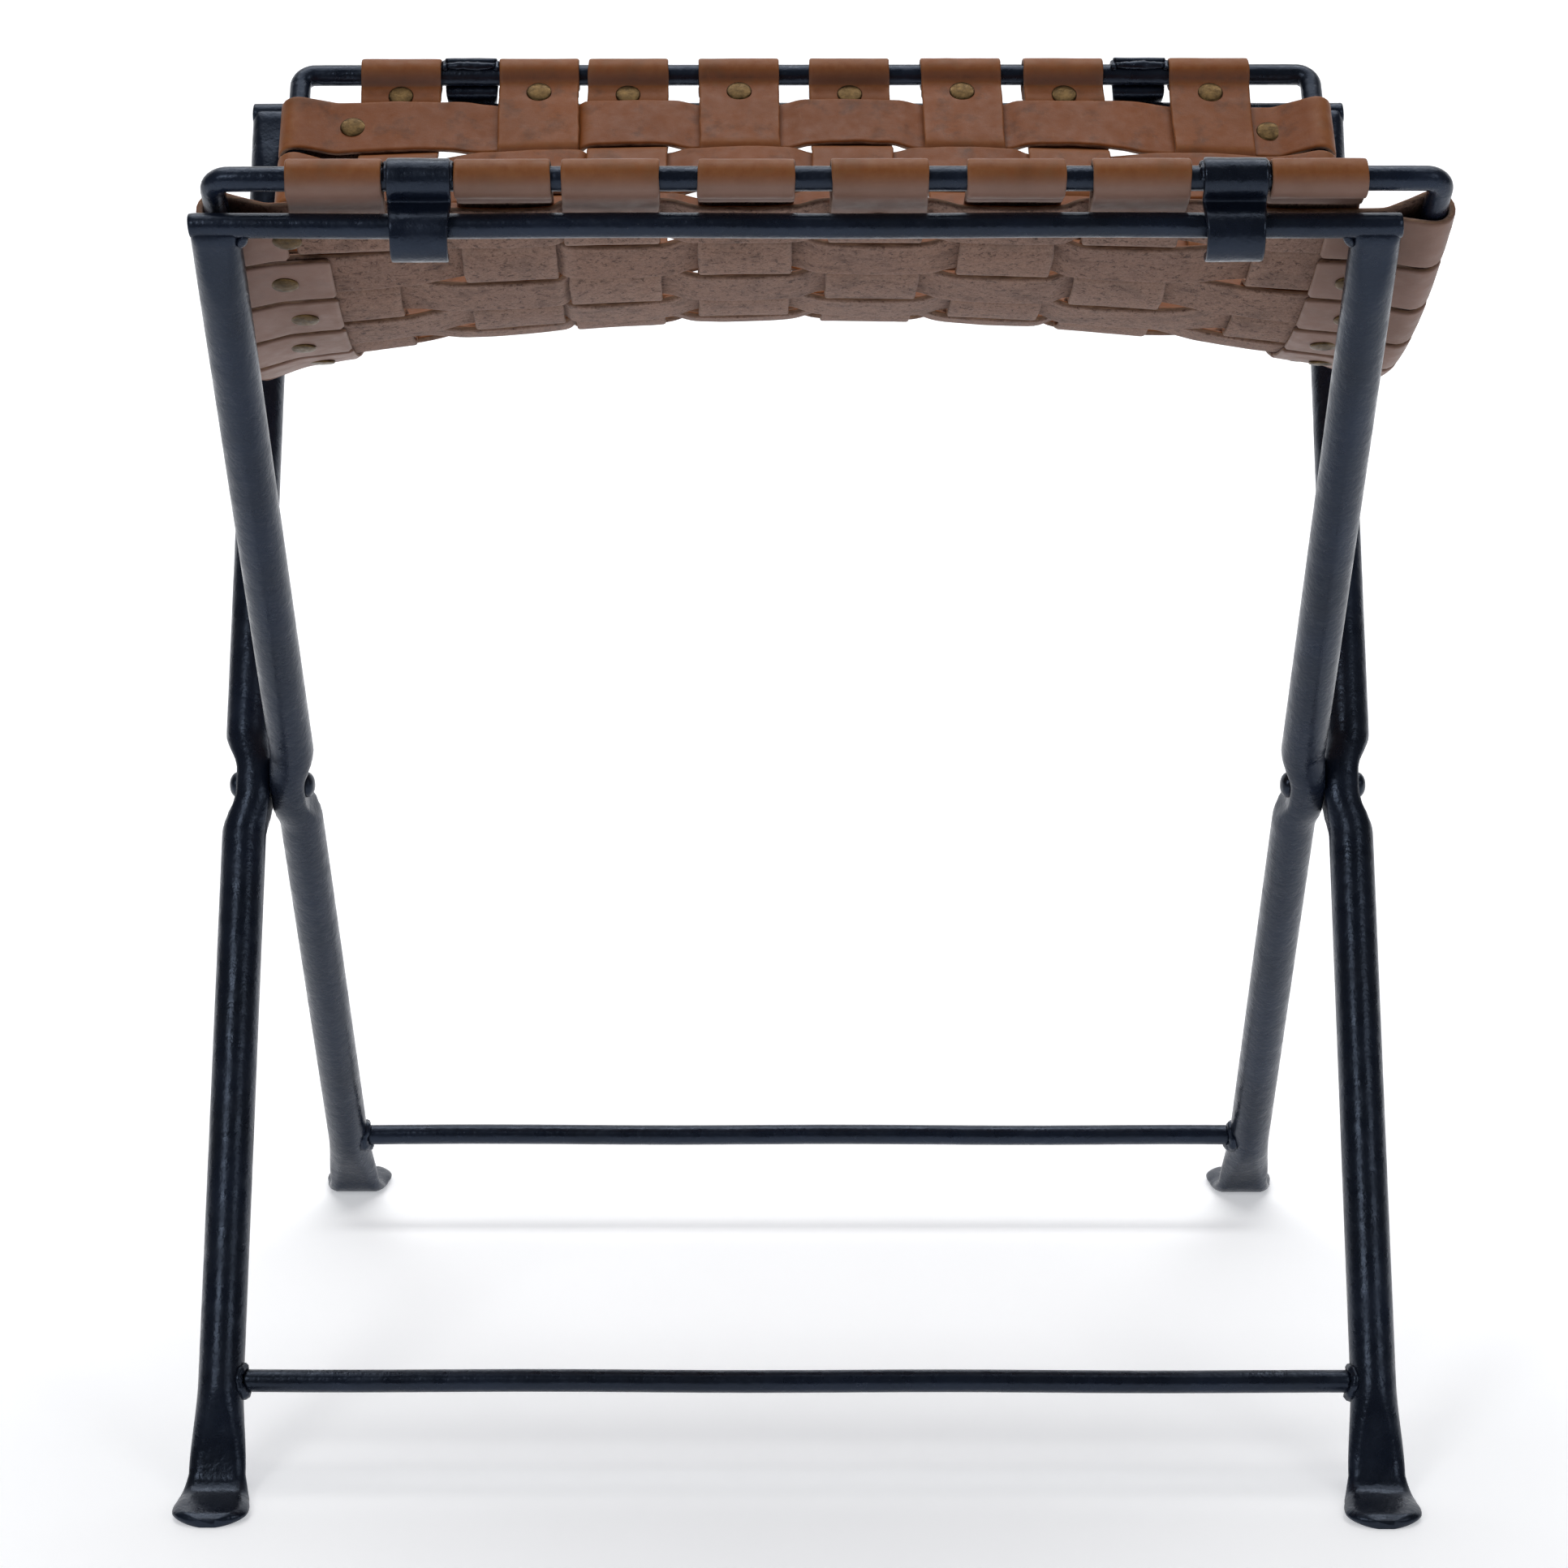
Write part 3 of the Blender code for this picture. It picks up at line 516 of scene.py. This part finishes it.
def weld_ring(bm, side, half_x, y, z, run, seed):
    """The bead round a stretcher's end, on its leg."""
    points = []
    for k in range(28):
        angle = 2 * math.pi * k / 28
        ry, rz = math.cos(angle), math.sin(angle)
        w = abs(ry * run.z - rz * run.y) * (ROD_R + 0.0006)
        x = side * (half_x - math.sqrt(TUBE_R ** 2 - w ** 2))
        points.append((x, y + ry * (ROD_R + 0.0006), z + rz * (ROD_R + 0.0006)))
    heavy = [0.0019 + 0.0011 * max(0.0, -math.sin(2 * math.pi * k / 28)) + 0.0003 * math.sin(k * 2.1 + seed)
             for k in range(28)]
    tube(bm, points, lambda k: heavy[k], 10, True, lumps=0.22, seed=seed)


def weld_line(bm, a, b, radius, seed):
    """A short bead from a to b."""
    points = [Vector(a).lerp(Vector(b), t) for t in np.linspace(0, 1, 15)]
    bulge = [radius * (0.55 + 0.45 * math.sin(math.pi * (k + 0.8) / 15.6)) * (1 + 0.07 * math.sin(k * 2.3 + seed))
             for k in range(15)]
    tube(bm, points, lambda k: bulge[k], 12, lumps=0.20, seed=seed)


def cross_rod(name, half, y, z, body):
    """A rail or a stretcher, not quite straight."""
    bm = bmesh.new()
    points = [(-half, y, z)]
    points += [(x, y, z + 0.0002 * math.sin(x * 37 + y * 50)) for x in np.linspace(-half + 0.002, half - 0.002, 41)]
    points.append((half, y, z))
    tube(bm, points, ROD_R, 28, dome=0.0009)
    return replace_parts(finish_object(name + "_bar", bm, [IRON], body), name)


cross_rod("inner_top_rail", INNER_HALF_X + TUBE_R, -RAIL_HALF_Y, RAIL_Z, "inner_frame")
cross_rod("outer_top_rail", OUTER_HALF_X + TUBE_R, RAIL_HALF_Y, RAIL_Z, "outer_frame")
cross_rod("inner_stretcher", INNER_HALF_X - TUBE_R - GAP, leg_point(STRETCHER_Z, 1), STRETCHER_Z, "inner_frame")
cross_rod("outer_stretcher", OUTER_HALF_X - TUBE_R - GAP, leg_point(STRETCHER_Z, -1), STRETCHER_Z, "outer_frame")

for way, half_x, body in ((1, INNER_HALF_X, "inner_frame"), (-1, OUTER_HALF_X, "outer_frame")):
    bm = bmesh.new()
    run = Vector((0, way * math.sin(LEG_ANGLE), -math.cos(LEG_ANGLE)))
    normal = Vector((0, math.cos(LEG_ANGLE) * way, math.sin(LEG_ANGLE)))
    for side in (-1, 1):
        weld_ring(bm, side, half_x, leg_point(STRETCHER_Z, way), STRETCHER_Z, run, side + 3 * way)
        rail = Vector((side * half_x, -way * RAIL_HALF_Y, RAIL_Z))
        inward = Vector((-side, 0, 0))
        for face in (-0.7, 0.0, 0.7):
            at = rail + inward * (TUBE_R + 0.0004) + normal * face * 0.0045
            low, high = at + run * 0.0070 - inward * 0.001, at + inward * 0.0018 + run * 0.0024
            weld_line(bm, low, high, 0.0019, side + face + way)
    finish_object(f"{body}_welds", bm, [IRON], body)


# ---------------------------------------------------------------- the sling's surface
class Section:
    """The sling's curve across the rack at one X."""

    def __init__(self, depth):
        t = np.linspace(-1, 1, 241)
        self.y = CRADLE_HALF_Y * t
        level = (t * t + SLING_ROUND ** 2) ** (SLING_POWER / 2) - SLING_ROUND ** SLING_POWER
        self.z = -depth * (1 - level / level[-1])
        self.s = np.concatenate([[0], np.cumsum(np.hypot(np.diff(self.y), np.diff(self.z)))])
        self.ty, self.tz = np.gradient(self.y, self.s), np.gradient(self.z, self.s)
        self.length = float(self.s[-1])

    def at(self, s, offset=0.0):
        y, z = np.interp(s, self.s, self.y), np.interp(s, self.s, self.z)
        ty, tz = np.interp(s, self.s, self.ty), np.interp(s, self.s, self.tz)
        size = math.hypot(ty, tz)
        return float(y - tz / size * offset), float(z + ty / size * offset)

    def pitch(self):
        return (self.length - 2 * ROW_START) / ROWS

    def row(self, j, part):
        return ROW_START + (j + 0.5 + part) * self.pitch()


SECTIONS = {}


def section(x):
    """The sling's curve at X, shallower in the middle of the rack."""
    depth = round(SLING_DEPTH - SLING_ARCH * (1 - (x / CRADLE_HALF_X) ** 2), 5)
    if depth not in SECTIONS:
        SECTIONS[depth] = Section(depth)
    return SECTIONS[depth]


def over(i, j):
    """+1 where cross strap i lies inside long strap j, -1 where it lies outside it."""
    return 1 if (i + j) % 2 else -1


def densify(lines, step):
    """More stations on lines that share their corners. lines: (corners, edges, 3)."""
    mid = lines[:, lines.shape[1] // 2]
    out = []
    for k in range(len(lines) - 1):
        parts = max(1, int(math.ceil(np.linalg.norm(mid[k + 1] - mid[k]) / step)))
        for t in range(parts):
            out.append(lines[k] + (lines[k + 1] - lines[k]) * t / parts)
    out.append(lines[-1])
    return np.array(out)


# ---------------------------------------------------------------- cradle rod: one bent loop
END = section(CRADLE_HALF_X)
loop = [(x, -CRADLE_HALF_Y, 0.0) for x in np.linspace(-CRADLE_HALF_X + CRADLE_CORNER + 0.004,
                                                      CRADLE_HALF_X - CRADLE_CORNER - 0.004, 31)]
for k in range(1, 10):
    angle = math.pi / 2 * k / 9
    y, z = END.at(CRADLE_CORNER * (1 - math.cos(angle)))
    loop.append((CRADLE_HALF_X - CRADLE_CORNER * (1 - math.sin(angle)), y, z))
for k in range(1, 48):
    y, z = END.at(CRADLE_CORNER + (END.length - 2 * CRADLE_CORNER) * k / 48)
    loop.append((CRADLE_HALF_X, y, z))
half_loop = loop + [(x, -y, z) for x, y, z in loop[31:40][::-1]]
whole = half_loop + [(-x, -y, z) for x, y, z in half_loop]
bm = bmesh.new()
tube(bm, [(CRADLE_SHIFT_X + x, y, CRADLE_Z + z) for x, y, z in whole], ROD_R, 24, True)
obj = finish_object("cradle_rod", bm, [IRON], "cradle")
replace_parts(obj, "cradle_front_rail", "cradle_back_rail", "cradle_end_left", "cradle_end_right")


# ---------------------------------------------------------------- straps across the rack
def wrap_angle(s, offset):
    """How far round the rail a strap leaves it for a point at s along the sling, this far off its surface."""
    return math.atan2(s, offset) - math.acos(WRAP_R / math.hypot(s, offset))


def end_path(sec, mirror, long_flap, inside):
    """The looped end of a cross strap, from its free end over the rail to the first long strap."""
    if long_flap:
        rivet, main, stop = RIVET_LONG, -WEAVE, FLAP_LONG
    else:
        rivet, main, stop = RIVET_SHORT, (STRAP_T + GAP) / 2 * (1 if inside > 0 else -0.2), FLAP_SHORT
    flap = main - STRAP_T - GAP
    settle = rivet - CAP_R - 3 * GAP
    free, near = sec.at(stop, flap), sec.at(settle, flap)
    points = [free, near]
    base = math.atan2(sec.ty[0], -sec.tz[0])
    first = base + math.pi + wrap_angle(settle, -flap)
    last = base - wrap_angle(settle, main)
    for k in range(17):
        angle = first + (last - first) * k / 16
        points.append((-CRADLE_HALF_Y + WRAP_R * math.cos(angle), WRAP_R * math.sin(angle)))
    points += [sec.at(settle, main), sec.at(ROW_START - 0.001, main)]
    along = (rivet - settle) / (stop - settle)
    chord = Vector((free[0] - near[0], free[1] - near[1]))
    normal = Vector((-chord.y, chord.x)).normalized()
    middle = Vector(near) + chord * along
    rivet_at = [middle - normal * (STRAP_T / 2), middle + normal * (STRAP_T * 1.5 + GAP)]
    if mirror:
        points = [(-y, z) for y, z in points]
        rivet_at = [Vector((-p.x, p.y)) for p in rivet_at]
    return points, rivet_at


for i, x in enumerate(CROSS_X):
    odd = i % 2 == 0

    def strap_line(at_x):
        sec = section(at_x)
        start, front_rivet = end_path(sec, False, odd, over(i, 0))
        finish, back_rivet = end_path(sec, True, False, over(i, ROWS - 1))
        flat = 0.5 - ROW_GAP / sec.pitch() / 2
        woven = []
        for j in range(ROWS):
            for part in (-1.0, -0.7, -0.4, 0.0, 0.4, 0.7, 1.0):
                crown = 0.0008 * (1 - part * part) if 0 < j < ROWS - 1 else 0.0002
                woven.append(sec.at(sec.row(j, part * flat), over(i, j) * (WEAVE + crown)))
        return start + woven + finish[::-1], front_rivet, back_rivet

    lines = []
    for v, _ in PROFILE:
        at_x = x + v * CROSS_W / 2
        line = strap_line(at_x)[0]
        lines.append([(CRADLE_SHIFT_X + at_x, y, CRADLE_Z + z) for y, z in line])
    lines = densify(np.array(lines).transpose(1, 0, 2), 0.0007)
    lines, run = blur(lines, 0.0011)
    for k in range(len(lines)):
        for e, (v, _) in enumerate(PROFILE):
            sway = 0.00055 * wobble((run[k], i * 1.3, v > 0), 38, i) + 0.00035 * wobble((run[k], 0, v > 0), 120, i + 9)
            lines[k, e, 0] += v * sway + 0.0006 * wobble((run[k], 5, 0), 11, i)
    keep = thin_out(run, 0.0019)
    tone = 0.5 + 0.5 * wobble((i * 2.7, 0.4, 0.1), 1.0, 4)
    strap = ribbon(f"cross_strap_{i + 1}_leather", lines[keep], [FLESH, GRAIN, EDGE], tone, seed=i)
    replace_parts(strap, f"cross_strap_{i + 1}")
    _, front_rivet, back_rivet = strap_line(x)
    for word, (outer, inner), both in (("front", front_rivet, not odd), ("back", back_rivet, True)):
        bm = bmesh.new()
        outer, inner = (Vector((CRADLE_SHIFT_X + x, y, CRADLE_Z + z)) for y, z in (outer, inner))
        axis = (inner - outer).normalized()
        if word == "back" or odd:
            dome(bm, outer - axis * 0.0001, -axis, CAP_R, CAP_H, seed=i)
        if both:
            dome(bm, inner + axis * 0.0001, axis, CAP_R, CAP_H, seed=i + 20)
        cap = finish_object(f"{word}_rivet_{i + 1}_brass", bm, [BRASS], "cradle")
        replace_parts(cap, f"{word}_rivet_{i + 1}")


# ---------------------------------------------------------------- straps along the rack
def side_end(side, j, bulge):
    """The looped end of a long strap: (x, offset from the sling), from its free end over the end rod."""
    i = 0 if side < 0 else len(CROSS_X) - 1
    main, flap = -over(i, j) * WEAVE, -WEAVE - STRAP_T - GAP
    inner = abs(CROSS_X[i]) + CROSS_W / 2 + 0.010
    fold = FLAP_SIDE_SHORT if i == j == 0 else FLAP_SIDE
    points = [(CRADLE_HALF_X - fold, flap), (max(inner, CRADLE_HALF_X - fold + 0.004), flap)]
    for k in range(17):
        angle = -math.pi / 2 - 0.2 + (math.pi + 0.4) * k / 16
        reach = WRAP_R + 1.6 * GAP + bulge * max(0.0, -math.sin(angle))
        points.append((CRADLE_HALF_X + reach * math.cos(angle), reach * math.sin(angle)))
    points.append((inner, main))
    return [(side * x, offset) for x, offset in points]


for j in range(ROWS):
    def edge_at(x, edge, offset, wide=0.0):
        sec = section(max(-CRADLE_HALF_X, min(CRADLE_HALF_X, x)))
        return sec.at(sec.row(j, edge * (0.5 - (LONG_GAP - wide) / sec.pitch() / 2)), offset)

    low, high, centre = (Vector(edge_at(CRADLE_HALF_X, edge, 0)) for edge in (-1, 1, 0))
    bulge = ((low + high) / 2 - centre).length
    stations = [(p[0], p[1], 0.0) for p in side_end(-1, j, bulge)]
    for i, x in enumerate(CROSS_X):
        half = CROSS_W / 2 + 0.0006
        for part in (-1.0, -0.5, 0.0, 0.5, 1.0):
            crown = 0.0006 * (1 - part * part)
            stations.append((x + half * part, -over(i, j) * (WEAVE + crown), 0.0))
        if i + 1 < len(CROSS_X):
            after = CROSS_X[i + 1] - half
            for t in (0.25, 0.5, 0.75):
                drop = -over(i, j) * WEAVE * math.cos(math.pi * t)
                stations.append((x + half + (after - x - half) * t, drop, 1.0 - abs(2 * t - 1) * 0.6))
    stations += [(p[0], p[1], 0.0) for p in side_end(1, j, bulge)[::-1]]
    lines = np.array([[(CRADLE_SHIFT_X + x, 0.0, 0.0)] * len(PROFILE) for x, _, _ in stations])
    for k, (x, offset, wide) in enumerate(stations):
        for e, (v, _) in enumerate(PROFILE):
            y, z = edge_at(x, v, offset, LONG_SPREAD * wide)
            lines[k, e] = (CRADLE_SHIFT_X + x, y, CRADLE_Z + z)
    lines = densify(lines, 0.0007)
    lines, run = blur(lines, 0.0016)
    for k in range(len(lines)):
        across = lines[k, -1] - lines[k, 0]
        across /= np.linalg.norm(across)
        up = np.array([0.0, -across[2], across[1]])
        for e, (v, _) in enumerate(PROFILE):
            sway = 0.0006 * wobble((run[k], j * 1.7, v > 0), 34, j + 30)
            sway = sway + 0.0004 * wobble((run[k], 0, v > 0), 110, j + 50)
            curl = 0.0005 * v * v * wobble((run[k], 3, v > 0), 26, j + 70)
            lines[k, e] += across * v * sway + up * curl
    keep = thin_out(run, 0.0021)
    tone = 0.5 + 0.5 * wobble((j * 1.9, 1.4, 2.1), 1.0, 8)
    strap = ribbon(f"long_strap_{j + 1}_leather", lines[keep], [GRAIN, FLESH, EDGE], tone, seed=j + 40)
    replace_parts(strap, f"long_strap_{j + 1}")
    bm = bmesh.new()
    for side in (-1, 1):
        i = 0 if side < 0 else len(CROSS_X) - 1
        x = side * (abs(CROSS_X[i]) + 0.0188 + (0.0065 if over(i, j) > 0 else 0.002))
        sec = section(x)
        s = sec.row(j, 0)
        base = Vector((CRADLE_SHIFT_X + x, *sec.at(s, 0.0))) + Vector((0, 0, CRADLE_Z))
        normal = Vector((0, *sec.at(s, 1.0))) - Vector((0, *sec.at(s, 0.0)))
        top = -over(i, j) * WEAVE + STRAP_T / 2
        dome(bm, base + normal * top, normal, CAP_R, CAP_H, seed=j + side)
        dome(bm, base - normal * (WEAVE + STRAP_T * 1.5 + GAP), -normal, CAP_R, CAP_H, seed=j + side + 30)
    finish_object(f"side_rivets_{j + 1}", bm, [BRASS], "cradle")


# ---------------------------------------------------------------- hooks
def hook(name, side, way, lip):
    """A plate welded over the cradle's rail, with a claw round the leg rail that opens lip degrees below level."""
    mid = ROD_R + GAP + HOOK_T / 2
    shift = RAIL_HALF_Y - CRADLE_HALF_Y
    rise = CRADLE_Z - RAIL_Z
    points = []
    for k in range(14):
        angle = math.radians(112 - 177 * k / 13)
        points.append((mid * math.cos(angle) - shift, rise + mid * math.sin(angle)))
    claw_r = HOOK_CLAW_R + HOOK_T / 2
    claw_w = ROD_R + GAP - HOOK_CLAW_R
    claw_u = 0.0012
    first = (claw_u + claw_r * math.cos(math.radians(72)), claw_w + claw_r * math.sin(math.radians(72)))
    last = points[-1]
    points.append(((last[0] + first[0]) / 2 - 0.0022, (last[1] + first[1]) / 2 + 0.0001))
    for k in range(15):
        angle = math.radians(72 - (72 + lip) * k / 14)
        points.append((claw_u + claw_r * math.cos(angle), claw_w + claw_r * math.sin(angle)))
    lines = np.array([[(CRADLE_SHIFT_X + side * HOOK_X + v * HOOK_W / 2, way * (RAIL_HALF_Y + u), RAIL_Z + w)
                       for v, _ in PROFILE] for u, w in points])
    lines = densify(lines, 0.0005)
    lines, run = blur(lines, 0.0008)
    for k in range(len(lines)):
        t = run[k] / run[-1]
        wide = 1.0 - 0.10 * smooth_step((t - 0.35) / 0.35)
        lines[k, :, 0] = CRADLE_SHIFT_X + side * HOOK_X + (lines[k, :, 0] - CRADLE_SHIFT_X - side * HOOK_X) * wide
    keep = thin_out(run, 0.0010)
    plate = ribbon(name + "_plate", lines[keep], [IRON], thickness=HOOK_T, seed=side + way, rough=1.6,
                   corner=0.003)
    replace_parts(plate, name)
    bm = bmesh.new()
    angle = math.radians(112)
    at = Vector((CRADLE_SHIFT_X + side * HOOK_X, way * (RAIL_HALF_Y - shift + (ROD_R + 0.001) * math.cos(angle + 0.25)),
                 CRADLE_Z + (ROD_R + 0.001) * math.sin(angle + 0.25)))
    weld_line(bm, at - Vector((HOOK_W * 0.46, 0, 0)), at + Vector((HOOK_W * 0.46, 0, 0)), 0.0021, side + way)
    for edge in (-1, 1):
        points = []
        for k in range(12):
            angle = math.radians(150 - 150 * k / 11)
            r = ROD_R + 0.0006
            points.append((CRADLE_SHIFT_X + side * HOOK_X + edge * HOOK_W * 0.5,
                           way * (RAIL_HALF_Y - shift + r * math.cos(angle)), CRADLE_Z + r * math.sin(angle)))
        tube(bm, points, lambda k: 0.0013 + 0.0003 * math.sin(k * 1.9 + edge), 10, lumps=0.2, seed=edge + side)
    finish_object(name + "_weld", bm, [IRON], "cradle")


for side, word in ((-1, "left"), (1, "right")):
    hook(f"hook_front_{word}", side, -1, 118)
    hook(f"hook_back_{word}", side, 1, 76)


# ---------------------------------------------------------------- studio
sweep = [(-6.0, 0.0), (0.5, 0.0), (2.2, 0.0)]
sweep += [(2.2 + 1.5 * math.sin(a), 1.5 * (1 - math.cos(a))) for a in np.linspace(0.1, math.pi / 2, 14)]
sweep += [(3.7, 4.5)]
bm = bmesh.new()
rows = [[bm.verts.new((x, y, z)) for x in (-6.0, -2.0, 2.0, 6.0)] for y, z in sweep]
for low, high in zip(rows, rows[1:]):
    for k in range(3):
        bm.faces.new((low[k], low[k + 1], high[k + 1], high[k]))
mesh = bpy.data.meshes.new("backdrop")
bm.to_mesh(mesh)
bm.free()
mesh.shade_smooth()
mesh.materials.append(floor_material())
floor = bpy.data.objects.new("backdrop", mesh)
bpy.context.scene.collection.objects.link(floor)


def area(name, place, target, size, power):
    data = bpy.data.lights.new(name, "AREA")
    data.shape = "RECTANGLE"
    data.size, data.size_y = size
    data.energy = power
    lamp = bpy.data.objects.new(name, data)
    lamp.location = place
    lamp.rotation_euler = (Vector(target) - Vector(place)).to_track_quat("-Z", "Y").to_euler()
    bpy.context.scene.collection.objects.link(lamp)


area("top", (0.0, 0.5, 2.9), (0, 0.1, 0.2), (2.6, 2.2), 30)
area("key", (-1.3, -1.9, 1.9), (0, 0, 0.35), (0.7, 0.9), 11)
area("fill", (1.6, -1.6, 1.5), (0, 0, 0.35), (0.7, 0.9), 5)
area("backdrop_light", (0, 1.5, 3.4), (0, 3.2, 0.8), (4.5, 1.2), 60)
world = bpy.data.worlds.new("studio")
world.use_nodes = True
world.node_tree.nodes["Background"].inputs["Color"].default_value = (1.0, 1.0, 1.0, 1.0)
world.node_tree.nodes["Background"].inputs["Strength"].default_value = 0.10
bpy.context.scene.world = world
bpy.context.scene.view_settings.view_transform = "Standard"

PITCH, YAW, ROLL = -0.28344, -0.00664, -0.0018
CAMERA_X, CAMERA_Y, CAMERA_Z = 0.00547, -1.68604, 0.75008
SENSOR, FOCAL_PX, IMAGE_PX = 36, 4971.5, 1932
forward = Vector((math.sin(YAW) * math.cos(PITCH), math.cos(YAW) * math.cos(PITCH), math.sin(PITCH)))
right = Vector((math.cos(YAW), -math.sin(YAW), 0))
up = right.cross(forward)
r2 = right * math.cos(ROLL) + up * math.sin(ROLL)
u2 = up * math.cos(ROLL) - right * math.sin(ROLL)
data = bpy.data.cameras.new("photo_camera")
data.sensor_width = SENSOR
data.lens = SENSOR * FOCAL_PX / IMAGE_PX
camera = bpy.data.objects.new("photo_camera", data)
camera.matrix_world = Matrix(((r2.x, u2.x, -forward.x, CAMERA_X), (r2.y, u2.y, -forward.y, CAMERA_Y),
                              (r2.z, u2.z, -forward.z, CAMERA_Z), (0, 0, 0, 1)))
bpy.context.scene.collection.objects.link(camera)
bpy.context.scene.camera = camera

bpy.context.view_layer.update()
